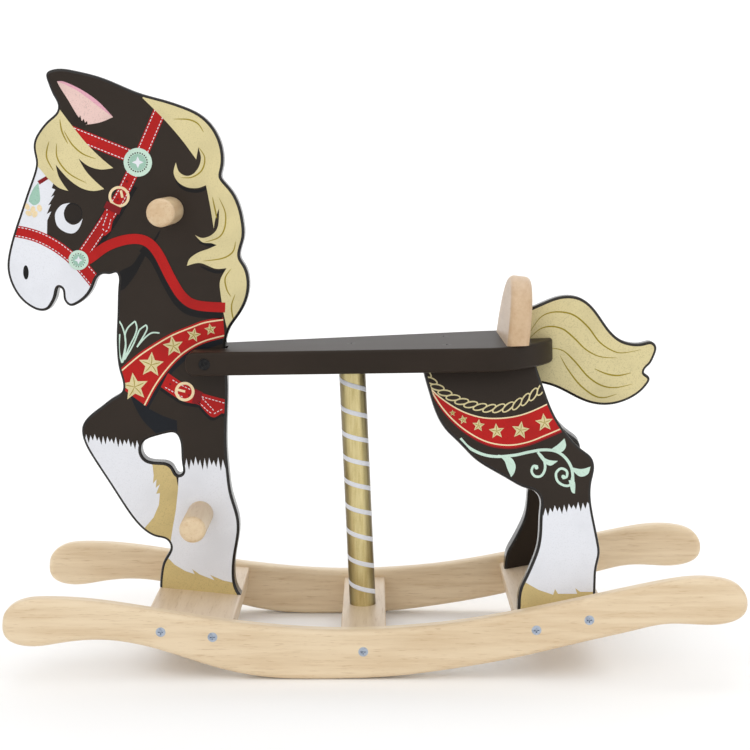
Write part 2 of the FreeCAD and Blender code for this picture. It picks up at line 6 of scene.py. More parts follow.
import logging
import math
from dataclasses import dataclass, field
from enum import Enum
from functools import lru_cache
from itertools import accumulate

import bmesh
import bpy
from mathutils import Matrix, Vector
from mathutils.geometry import delaunay_2d_cdt


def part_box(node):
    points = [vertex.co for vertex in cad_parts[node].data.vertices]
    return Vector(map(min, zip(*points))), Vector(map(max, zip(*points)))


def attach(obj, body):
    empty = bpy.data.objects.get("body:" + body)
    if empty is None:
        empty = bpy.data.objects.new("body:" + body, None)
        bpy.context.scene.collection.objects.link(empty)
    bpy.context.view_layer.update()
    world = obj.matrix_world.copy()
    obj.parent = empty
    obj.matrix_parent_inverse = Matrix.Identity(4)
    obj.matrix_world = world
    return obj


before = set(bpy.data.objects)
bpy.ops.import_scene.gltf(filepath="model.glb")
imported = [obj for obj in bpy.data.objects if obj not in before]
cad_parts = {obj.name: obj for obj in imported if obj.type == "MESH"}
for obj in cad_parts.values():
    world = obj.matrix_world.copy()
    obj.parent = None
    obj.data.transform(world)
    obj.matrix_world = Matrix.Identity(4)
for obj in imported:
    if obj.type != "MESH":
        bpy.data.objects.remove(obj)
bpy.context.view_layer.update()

LOG = logging.getLogger("rocking_horse")
MM = 0.001
BODY = "root"

SPAN_STEPS = 7
STITCH_INSET = 1.6
PRONG_WIDTH = 2.6

Point = tuple[float, float]
Outline = list[Point]
Shapes = list[Outline]
Colour = tuple[float, float, float]


# ---------------- shader writing
def linear(step: float) -> float:
    """Return in linear light one channel of a display colour, given in steps of 0 to 255."""
    share = step / 255
    return share / 12.92 if share <= 0.04045 else ((share + 0.055) / 1.055) ** 2.4


class Wire:
    """An output socket whose arithmetic adds Math nodes."""

    def __init__(self, bench: "Bench", socket: bpy.types.NodeSocket) -> None:
        """Keep the bench that makes nodes and the socket that this wire carries."""
        self.bench = bench
        self.socket = socket

    def join(self, operation: str, left: "Wire | float", right: "Wire | float") -> "Wire":
        """Return the Math node of two values.

        Args:
            operation: The Math node's operation.
            left: First value.
            right: Second value.

        Returns:
            The wire of the result.
        """
        return self.bench.add("ShaderNodeMath", {"operation": operation}, {0: left, 1: right})

    def __add__(self, other: "Wire | float") -> "Wire":
        """Return the sum."""
        return self.join("ADD", self, other)

    def __radd__(self, other: float) -> "Wire":
        """Return the sum with a number on the left."""
        return self.join("ADD", other, self)

    def __rsub__(self, other: float) -> "Wire":
        """Return a number less this wire."""
        return self.join("SUBTRACT", other, self)

    def __mul__(self, other: "Wire | float") -> "Wire":
        """Return the product."""
        return self.join("MULTIPLY", self, other)

    def ramp(self, low: float, high: float) -> "Wire":
        """Return a smooth mask that is 0 under low and 1 over high."""
        return self.bench.add("ShaderNodeMapRange", {"interpolation_type": "SMOOTHSTEP"},
                              {"Value": self, "From Min": low, "From Max": high})


class Bench:
    """A material under construction."""

    def __init__(self, name: str) -> None:
        """Start an empty material of that name."""
        self.material = bpy.data.materials.new(name)
        self.material.use_nodes = True
        self.tree = self.material.node_tree
        self.tree.nodes.clear()

    def add(self, kind: str, settings: dict, sockets: dict, output: int | str = 0) -> Wire:
        """Add a node.

        Args:
            kind: The node's type.
            settings: Its properties, set first.
            sockets: Value or wire of each input, by name or number.
            output: Which output to return.

        Returns:
            The wire of that output.
        """
        node = self.tree.nodes.new(kind)
        for name, value in settings.items():
            setattr(node, name, value)
        for key, value in sockets.items():
            if isinstance(value, Wire):
                self.tree.links.new(value.socket, node.inputs[key])
            else:
                node.inputs[key].default_value = value
        return Wire(self, node.outputs[output])

    def place(self, scale: Colour = (1.0, 1.0, 1.0)) -> Wire:
        """Return the object's own coordinates, scaled."""
        coordinates = self.add("ShaderNodeTexCoord", {}, {}, "Object")
        return self.add("ShaderNodeMapping", {}, {"Vector": coordinates, "Scale": scale})

    def noise(self, where: Wire, scale: float, detail: float = 3.0, roughness: float = 0.5) -> Wire:
        """Return a noise value between 0 and 1 at coordinates."""
        return self.add("ShaderNodeTexNoise", {},
                        {"Vector": where, "Scale": scale, "Detail": detail, "Roughness": roughness})

    def mix(self, share: Wire, below: Wire | Colour, above: Wire | Colour) -> Wire:
        """Return two colours mixed by a share of the second, where a plain colour is in display steps."""
        first, second = (each if isinstance(each, Wire) else (*map(linear, each), 1.0) for each in (below, above))
        return self.add("ShaderNodeMix", {"data_type": "RGBA"}, {0: share, 6: first, 7: second}, 2)

    def facing(self, direction: Colour) -> Wire:
        """Return a value that is 1 on faces square to a direction and falls to 0 on faces along it."""
        normal = self.add("ShaderNodeNewGeometry", {}, {}, "Normal")
        dot = self.add("ShaderNodeVectorMath", {"operation": "DOT_PRODUCT"}, {0: normal, 1: direction}, "Value")
        return dot * dot

    def bump(self, height: Wire, depth: float, strength: float = 1.0) -> Wire:
        """Return a normal bent by a height, with its depth in millimetres."""
        return self.add("ShaderNodeBump", {},
                        {"Height": height, "Distance": depth * MM, "Strength": strength})

    def finish(self, **sockets: object) -> bpy.types.Material:
        """End the material with a Principled shader whose sockets are given by name.

        Args:
            sockets: Each input's value or wire, with _ for a space in its name.

        Returns:
            The finished material.
        """
        named = {name.replace("_", " "): value for name, value in sockets.items()}
        shader = self.add("ShaderNodeBsdfPrincipled", {}, named)
        end = self.tree.nodes.new("ShaderNodeOutputMaterial")
        self.tree.links.new(shader.socket, end.inputs["Surface"])
        return self.material


# ---------------- finishes
class Grain(Enum):
    """Which way a timber's grain runs, as the stretch of its pattern along each axis."""

    ALONG = (1.0, 14.0, 14.0)
    ACROSS = (14.0, 1.0, 14.0)


@dataclass(frozen=True)
class LacqueredTimber:
    """Pale plantation timber under thin clear lacquer."""

    name: str
    grain: Grain
    pale: Colour = (228, 207, 174)
    warm: Colour = (210, 184, 147)
    pore: Colour = (178, 143, 102)

    def build(self) -> bpy.types.Material:
        """Return the timber's material."""
        bench = Bench(self.name)
        where = bench.place(self.grain.value)
        figure = bench.noise(where, 5.5, 5.0, 0.55)
        streak = bench.noise(where, 19.0, 4.0, 0.6)
        fibre = bench.noise(where, 60.0, 2.0, 0.6)
        cloud = bench.noise(bench.place(), 7.0, 2.0)
        tone = figure * 0.5 + streak * 0.35 + cloud * 0.3
        body = bench.mix(tone.ramp(0.44, 0.78), self.pale, self.warm)
        pores = (fibre * 0.75 + streak * 0.25).ramp(0.56, 0.68)
        colour = bench.mix(pores * 0.42, body, self.pore)
        return bench.finish(Base_Color=colour, Roughness=0.36 + fibre * 0.16, Coat_Weight=0.3,
                            Coat_Roughness=0.28, Normal=bench.bump(1.0 - pores, 0.06, 0.5))


@dataclass(frozen=True)
class SatinPaint:
    """Sprayed satin paint with a faint orange peel and dust-fine variation."""

    name: str
    colour: Colour
    light: Colour
    roughness: float = 0.42

    def build(self) -> bpy.types.Material:
        """Return the paint's material."""
        bench = Bench(self.name)
        where = bench.place()
        broad = bench.noise(where, 9.0, 3.0)
        peel = bench.noise(where, 420.0, 2.0)
        colour = bench.mix(broad.ramp(0.3, 0.75), self.colour, self.light)
        return bench.finish(Base_Color=colour, Roughness=self.roughness + broad * 0.08,
                            Specular_IOR_Level=0.15, Normal=bench.bump(peel, 0.03, 0.35))


@dataclass(frozen=True)
class PrintedBoard:
    """Board printed dark brown on its flat faces, with hand-painted black edges."""

    name: str
    normal: Colour
    face: Colour = (42, 34, 27)
    face_light: Colour = (48, 39, 32)
    edge: Colour = (20, 17, 15)

    def build(self) -> bpy.types.Material:
        """Return the board's material."""
        bench = Bench(self.name)
        flat = bench.facing(self.normal).ramp(0.93, 0.985)
        where = bench.place()
        broad = bench.noise(where, 8.0, 4.0)
        grit = bench.noise(where, 900.0, 2.0)
        ink = bench.mix((broad * 0.7 + grit * 0.3).ramp(0.35, 0.7), self.face, self.face_light)
        brushed = bench.noise(bench.place((1.0, 30.0, 1.0)), 30.0, 2.0)
        edge = bench.mix(brushed * 0.4, self.edge, tuple(1.7 * step for step in self.edge))
        return bench.finish(Base_Color=bench.mix(flat, edge, ink), Roughness=0.24 + flat * 0.2 + broad * 0.06,
                            Specular_IOR_Level=0.2, Coat_Weight=0.35 - flat * 0.35, Coat_Roughness=0.12,
                            Normal=bench.bump(grit, 0.02, 0.3))


@dataclass(frozen=True)
class Ink:
    """Screen-printed ink: flat colour with a slight mottle and a fine dot."""

    name: str
    colour: Colour
    mottle: float = 0.05
    dot: float = 0.03
    roughness: float = 0.4

    def build(self) -> bpy.types.Material:
        """Return the ink's material."""
        bench = Bench(self.name)
        where = bench.place()
        broad = bench.noise(where, 22.0, 3.0)
        fine = bench.noise(where, 850.0, 1.0)
        shade = tuple(step * (1 - 2.2 * self.mottle) for step in self.colour)
        spot = tuple(step * (1 - 3 * self.dot) for step in self.colour)
        colour = bench.mix(broad.ramp(0.4, 0.75), self.colour, shade)
        colour = bench.mix(fine.ramp(0.5, 0.75), colour, spot)
        return bench.finish(Base_Color=colour, Roughness=self.roughness + fine * 0.08,
                            Specular_IOR_Level=0.22, Normal=bench.bump(fine, 0.01, 0.2))


@dataclass(frozen=True)
class MetallicPaint:
    """Gold paint with fine flake, brushed on along the pole, with painted shade darkening its sides that face along x.
    """

    name: str
    colour: Colour = (214, 199, 146)
    deep: Colour = (190, 172, 114)
    # Painted shade: the dark colour given to the pole's sides that face along x.
    painted_side_shade: Colour = (112, 98, 60)

    def build(self) -> bpy.types.Material:
        """Return the paint's material."""
        bench = Bench(self.name)
        brush = bench.noise(bench.place((9.0, 9.0, 1.0)), 40.0, 3.0)
        flake = bench.noise(bench.place(), 1400.0, 1.0)
        face = bench.mix((brush * 0.7 + flake * 0.3).ramp(0.36, 0.74), self.colour, self.deep)
        # Painted shade: faces that look along x, the pole's edges as the camera sees it, turn to the dark colour.
        colour = bench.mix(bench.facing((1.0, 0.0, 0.0)).ramp(0.05, 0.95), face, self.painted_side_shade)
        return bench.finish(Base_Color=colour, Metallic=0.82, Roughness=0.26 + flake * 0.14 + brush * 0.06,
                            Coat_Weight=0.2, Coat_Roughness=0.2, Normal=bench.bump(brush, 0.02, 0.4))


@dataclass(frozen=True)
class Plating:
    """Plated or blackened steel with turning marks and handling wear."""

    name: str
    colour: Colour
    worn: Colour
    metallic: float = 1.0
    roughness: float = 0.28

    def build(self) -> bpy.types.Material:
        """Return the metal's material."""
        bench = Bench(self.name)
        where = bench.place()
        cloud = bench.noise(where, 260.0, 3.0)
        marks = bench.noise(bench.place((1.0, 8.0, 1.0)), 900.0, 2.0)
        colour = bench.mix(cloud.ramp(0.42, 0.7), self.colour, self.worn)
        return bench.finish(Base_Color=colour, Metallic=self.metallic, Roughness=self.roughness + marks * 0.15,
                            Normal=bench.bump(marks, 0.01, 0.5))


@lru_cache(maxsize=None)
def material_of(finish: object) -> bpy.types.Material:
    """Return a finish's material, built once."""
    return finish.build()


class Print(Enum):
    """The inks on the boards."""

    BROWN = Ink("ink_brown", (38, 30, 24))
    BLACK = Ink("ink_black", (17, 15, 16), roughness=0.34)
    NAVY = Ink("ink_navy", (16, 20, 27))
    RED = Ink("ink_red", (180, 19, 17))
    CRIMSON = Ink("ink_crimson", (128, 14, 22))
    CREAM = Ink("ink_cream", (217, 204, 155), mottle=0.03)
    OLIVE = Ink("ink_olive", (156, 138, 42))
    SAND = Ink("ink_sand", (203, 182, 126), mottle=0.04)
    WHITE = Ink("ink_white", (226, 228, 234), mottle=0.015, dot=0.012)
    ROSE = Ink("ink_rose", (228, 196, 188))
    PINK = Ink("ink_pink", (222, 165, 180))
    MINT = Ink("ink_mint", (200, 226, 210), mottle=0.03)
    SAGE = Ink("ink_sage", (158, 196, 178))
    IVORY = Ink("ink_ivory", (238, 216, 174), mottle=0.03)


# ---------------- drawing flat shapes
def smooth(points: Outline) -> Outline:
    """Return points along a smooth line through the given ones, which keeps both of its ends."""
    if len(points) < 3:
        return list(points)
    held = [points[0], *points, points[-1]]
    fine = [_spline(*held[index:index + 4], step / SPAN_STEPS)
            for index in range(len(points) - 1) for step in range(SPAN_STEPS)]
    return [*fine, points[-1]]


def _spline(before: Point, start: Point, end: Point, after: Point, share: float) -> Point:
    """Return a point of the Catmull-Rom span from start to end."""
    square = share * share
    cube = square * share
    return tuple(0.5 * (2 * start[axis] + (end[axis] - before[axis]) * share
                        + (2 * before[axis] - 5 * start[axis] + 4 * end[axis] - after[axis]) * square
                        + (3 * start[axis] - before[axis] - 3 * end[axis] + after[axis]) * cube)
                 for axis in (0, 1))


def patch(*runs: Outline) -> Outline:
    """Return a closed outline of smooth runs, each of which starts at the last point of the one before."""
    whole = smooth(runs[0])
    for run in runs[1:]:
        whole += smooth([whole[-1], *run])[1:]
    return whole


def normals(line: Outline) -> Outline:
    """Return the unit vector square to a line, on its left, at each of its points."""
    sideways: Outline = []
    for first, last in zip([line[0], *line], [*line[1:], line[-1]]):
        length = math.dist(first, last) or 1.0
        sideways.append(((first[1] - last[1]) / length, (last[0] - first[0]) / length))
    return sideways


def beside(line: Outline, offset: float) -> Outline:
    """Return a line moved sideways, to its left where the offset is positive."""
    return [(x + offset * nx, z + offset * nz) for (x, z), (nx, nz) in zip(line, normals(line))]


def shifted(line: Outline, dx: float, dz: float) -> Outline:
    """Return an outline moved along x and z."""
    return [(x + dx, z + dz) for x, z in line]


def around(centre: Point, reach: float, angle: float) -> Point:
    """Return the point at a distance and an angle in radians from a centre."""
    return centre[0] + reach * math.cos(angle), centre[1] + reach * math.sin(angle)


def stroke(points: Outline, width: float, taper: bool = False) -> Shapes:
    """Return a line of some width as a row of four-sided patches.

    Args:
        points: What the line passes through.
        width: Its width, at its middle if it tapers.
        taper: Whether it thins to nothing at its ends, as a drawn hair does.

    Returns:
        One outline for each short length.
    """
    line = smooth(points)
    last = len(line) - 1
    halves = [width / 2 * (max(0.06, math.sin(math.pi * index / last) ** 0.6) if taper else 1.0)
              for index in range(len(line))]
    left, right = ([(x + side * half * nx, z + side * half * nz)
                    for (x, z), (nx, nz), half in zip(line, normals(line), halves)] for side in (1, -1))
    return [[left[index], left[index + 1], right[index + 1], right[index]] for index in range(last)]


def strokes(lines: Shapes, width: float, taper: bool = True) -> Shapes:
    """Return several strokes of one width, drawn as hairs unless told otherwise."""
    return [mark for line in lines for mark in stroke(line, width, taper)]


def running(line: Outline) -> list[float]:
    """Return how far along a line each of its points lies."""
    return [0.0, *accumulate(math.dist(first, second) for first, second in zip(line, line[1:]))]


def _along(line: Outline, lengths: list[float], distance: float) -> Point:
    """Return the point at a distance along a line whose running lengths are known."""
    for index in range(len(line) - 1):
        if lengths[index + 1] >= distance:
            span = lengths[index + 1] - lengths[index] or 1.0
            share = (distance - lengths[index]) / span
            return tuple(line[index][axis] + share * (line[index + 1][axis] - line[index][axis])
                         for axis in (0, 1))
    return line[-1]


def dashes(points: Outline, width: float = 0.85, stitch: float = 2.3, gap: float = 1.5) -> Shapes:
    """Return a row of printed stitches along a line."""
    line = smooth(points)
    lengths = running(line)
    marks: Shapes = []
    place = gap / 2
    while place + stitch < lengths[-1]:
        marks += stroke([_along(line, lengths, place), _along(line, lengths, place + stitch)], width)
        place += stitch + gap
    return marks


def disc(centre: Point, radius: float, tall: float = 1.0, tilt: float = 0.0, sides: int = 36) -> Outline:
    """Return a circle, or an ellipse that is taller by a factor and tilted by degrees."""
    turn = math.radians(tilt)
    points: Outline = []
    for side in range(sides):
        across, up = around((0.0, 0.0), radius, 2 * math.pi * side / sides)
        up *= tall
        points.append((centre[0] + across * math.cos(turn) - up * math.sin(turn),
                       centre[1] + across * math.sin(turn) + up * math.cos(turn)))
    return points


def ring(centre: Point, outer: float, inner: float, tall: float = 1.0, tilt: float = 0.0) -> Shapes:
    """Return a flat ring as a row of four-sided patches."""
    rim = disc(centre, outer, tall, tilt, 30)
    hole = disc(centre, inner, (outer * tall - (outer - inner)) / inner, tilt, 30)
    return [[rim[index - 1], rim[index], hole[index], hole[index - 1]] for index in range(len(rim))]


def star(centre: Point, radius: float, turn: float = 0.0, points: int = 5, waist: float = 0.46) -> Outline:
    """Return a star with softly bowed points."""
    return [around(centre, radius * (waist if index % 2 else 1.0),
                   math.radians(90 + turn) + math.pi * index / points) for index in range(2 * points)]


def star_veins(centre: Point, radius: float, turn: float, width: float) -> Shapes:
    """Return the five lines drawn from a star's centre towards its points."""
    veins: Shapes = []
    for index in range(5):
        tip = around(centre, 0.72 * radius, math.radians(90 + turn + 72 * index))
        veins.append([centre, ((centre[0] + tip[0]) / 2 + 0.04 * radius, (centre[1] + tip[1]) / 2), tip])
    return strokes(veins, width)


def fringe(start: Point, end: Point, count: int, height: float) -> Outline:
    """Return the ragged upper edge of a white sock: spikes below a line, with uneven slits between."""
    edge: Outline = [start]
    for index in range(count):
        tip = 0.14 * height * math.sin(2.4 * index + 0.8)
        slit = -height * (0.8 + 0.25 * math.sin(1.7 * index + 0.4))
        for share, rise in ((0.45, tip), (1.0, slit)):
            along = (index + share) / count
            edge.append((start[0] + along * (end[0] - start[0]),
                         start[1] + along * (end[1] - start[1]) + rise))
    return edge


# ---------------- printing on a board
def signed_area(outline: Outline) -> float:
    """Return an outline's area, positive where it runs anticlockwise."""
    return 0.5 * sum(first[0] * second[1] - second[0] * first[1]
                     for first, second in zip(outline, outline[1:] + outline[:1]))


@dataclass
class BoardFace:
    """One flat face of a board, with the outlines of what can be printed on.

    Attributes:
        node: The board's node in the frame.
        outward: Roughly which way the face looks.
    """

    node: str
    outward: Vector
    normal: Vector = field(init=False)
    up: Vector = field(init=False)
    origin: Vector = field(init=False)
    loops: Shapes = field(init=False)

    FLATNESS = 0.01

    def __post_init__(self) -> None:
        """Find the face's plane and its outlines on the board's mesh."""
        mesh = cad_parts[self.node].data
        aimed = [polygon for polygon in mesh.polygons if polygon.normal.dot(self.outward) > 0.9]
        largest = max(aimed, key=lambda polygon: polygon.area)
        self.normal = largest.normal.copy()
        level = mesh.vertices[largest.vertices[0]].co.dot(self.normal)
        kept = [polygon for polygon in mesh.polygons
                if all(abs(mesh.vertices[corner].co.dot(self.normal) - level) < self.FLATNESS * MM
                       for corner in polygon.vertices)]
        self.up = (Vector((0.0, 0.0, 1.0)) - self.normal * self.normal.z).normalized()
        self.origin = Vector((0.0, level / self.normal.y, 0.0))
        self.loops = self._outlines(mesh, kept)

    def _outlines(self, mesh: bpy.types.Mesh, kept: list) -> Shapes:
        """Return the closed boundary lines of some polygons, the longest first."""
        spots: dict[tuple[int, int, int], int] = {}
        places: list[Vector] = []

        def spot(vertex: int) -> int:
            """Return one number for every vertex at the same place."""
            place = mesh.vertices[vertex].co
            key = tuple(round(value * 1e6) for value in place)
            if key not in spots:
                spots[key] = len(places)
                places.append(place.copy())
            return spots[key]

        after: dict[int, list[int]] = {}
        sides: set[tuple[int, int]] = set()
        for polygon in kept:
            corners = [spot(vertex) for vertex in polygon.vertices]
            sides.update(zip(corners, corners[1:] + corners[:1]))
        for first, second in sorted(sides):
            if first != second and (second, first) not in sides:
                after.setdefault(first, []).append(second)
        loops: Shapes = []
        while after:
            here = start = next(iter(after))
            chain = []
            while here in after and not (chain and here == start):
                chain.append(here)
                here = after[here].pop()
                if not after[chain[-1]]:
                    del after[chain[-1]]
            loops.append([self.flat(places[number]) for number in chain])
        loops = [loop for loop in loops if abs(signed_area(loop)) > 0.5]
        return sorted(loops, key=lambda loop: abs(signed_area(loop)), reverse=True)

    def flat(self, place: Vector) -> Point:
        """Return where a point of the face lies on the drawing, in millimetres."""
        offset = (place - self.origin) / MM
        return offset.x, offset.dot(self.up)

    def raised(self, point: Point, height: float) -> Vector:
        """Return the place in space of a drawing point, at a height over the face."""
        across = Vector((point[0] * MM, 0.0, 0.0))
        return self.origin + across + self.up * (point[1] * MM) + self.normal * (height * MM)

    def trim(self, shapes: Shapes) -> tuple[list[Point], list[list[int]]]:
        """Cut shapes to what lies on the face.

        Args:
            shapes: Outlines, which may overlap.

        Returns:
            Points and triangles of the part of the shapes that is on the board.
        """
        points: list[Vector] = []
        faces: list[list[int]] = []
        for loop in self.loops + shapes:
            faces.append(list(range(len(points), len(points) + len(loop))))
            points += map(Vector, loop if signed_area(loop) > 0 else reversed(loop))
        corners, _, triangles, _, _, owners = delaunay_2d_cdt(points, [], faces, 1, 1e-4, True)
        edges = len(self.loops)
        kept = [list(triangle) for triangle, owner in zip(triangles, owners)
                if 0 in owner and max(owner) >= edges and not any(0 < member < edges for member in owner)]
        return [tuple(corner) for corner in corners], kept


@dataclass
class Board:
    """A pair of printed faces that carry the same drawing, one on each side of the horse.

    Attributes:
        faces: The left and the right face.
        prefix: What the names of its prints start with.
        slot: The slot name meant for the prints; not used.
    """

    faces: list[BoardFace]
    prefix: str
    slot: str = "painted_panel"

    FIRST_COAT = 0.03
    COAT = 0.07
    PITCH = 0.09

    def lay(self, name: str, ink: Print, level: int, shapes: Shapes) -> bpy.types.Object:
        """Print shapes on both faces as one thin closed coat.

        Args:
            name: What the print shows.
            ink: Its ink.
            level: How many coats lie under it, plus one.
            shapes: Its outlines in millimetres.

        Returns:
            The print's object.
        """
        low = self.FIRST_COAT + (level - 1) * self.PITCH
        build = bmesh.new()
        for face in self.faces:
            points, triangles = face.trim(shapes)
            used = sorted({corner for triangle in triangles for corner in triangle})
            top, under = ({corner: build.verts.new(face.raised(points[corner], height)) for corner in used}
                          for height in (low + self.COAT, low))
            sides: set[tuple[int, int]] = set()
            for triangle in triangles:
                build.faces.new([top[corner] for corner in triangle])
                build.faces.new([under[corner] for corner in reversed(triangle)])
                sides.update(zip(triangle, triangle[1:] + triangle[:1]))
            for first, second in sides:
                if (second, first) not in sides:
                    build.faces.new([top[second], top[first], under[first], under[second]])
        return settle(solid(build, f"{self.prefix}_{name}"), ink.value)

    def lay_stars(self, name: str, stars: list[tuple[Point, float, float]], vein: float) -> None:
        """Print a row of cream stars, each a centre, a radius and a turn, and their olive veins."""
        self.lay(f"{name}_stars", Print.CREAM, 4, [star(*each) for each in stars])
        self.lay(f"{name}_star_veins", Print.OLIVE, 5, [mark for each in stars for mark in star_veins(*each, vein)])


def linked(name: str, data: bpy.types.ID) -> bpy.types.Object:
    """Return a new object that shows some data, linked to the scene."""
    piece = bpy.data.objects.new(name, data)
    bpy.context.scene.collection.objects.link(piece)
    return piece


def meshed(build: bmesh.types.BMesh, name: str) -> bpy.types.Object:
    """Return a finished mesh as an object."""
    mesh = bpy.data.meshes.new(name)
    build.to_mesh(mesh)
    build.free()
    return linked(name, mesh)


def solid(build: bmesh.types.BMesh, name: str) -> bpy.types.Object:
    """Return a closed mesh as an object, with its faces turned outwards."""
    bmesh.ops.recalc_face_normals(build, faces=build.faces)
    return meshed(build, name)


def both_sides(left: str, right: str) -> list[BoardFace]:
    """Return the left face of one node and the right face of another."""
    return [BoardFace(left, Vector((0.0, -1.0, 0.0))), BoardFace(right, Vector((0.0, 1.0, 0.0)))]


def settle(piece: bpy.types.Object, finish: object) -> bpy.types.Object:
    """Dress a piece and let it ride on the horse.

    Args:
        piece: A finished object, linked to the scene.
        finish: What it is covered with.

    Returns:
        The same object.
    """
    piece.data.materials.append(material_of(finish))
    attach(piece, BODY)
    LOG.info("%s: %d faces", piece.name, len(piece.data.polygons))
    return piece


# ---------------- straps and fittings
def stitches(line: Outline, width: float) -> Shapes:
    """Return the two rows of stitches inside the edges of a strap."""
    fine = smooth(line)
    reach = width / 2 - STITCH_INSET
    return dashes(beside(fine, reach)) + dashes(beside(fine, -reach))


def rosette(centre: Point, radius: float, dots: int) -> tuple[Shapes, Shapes, Shapes, Shapes]:
    """Return an ornament's pale disc, its darker inner disc, its ring of dots and its star."""
    beads = [disc(around(centre, radius * 0.66, 2 * math.pi * index / dots), radius * 0.055, sides=10)
             for index in range(dots)]
    return [disc(centre, radius)], [disc(centre, radius * 0.58)], beads, [star(centre, radius * 0.42, 0.0, 4, 0.42)]


def buckle(centre: Point, outer: float, inner: float, prong: Outline) -> Shapes:
    """Return the ring of a printed round buckle with its prong."""
    return ring(centre, outer, inner) + stroke(prong, PRONG_WIDTH)


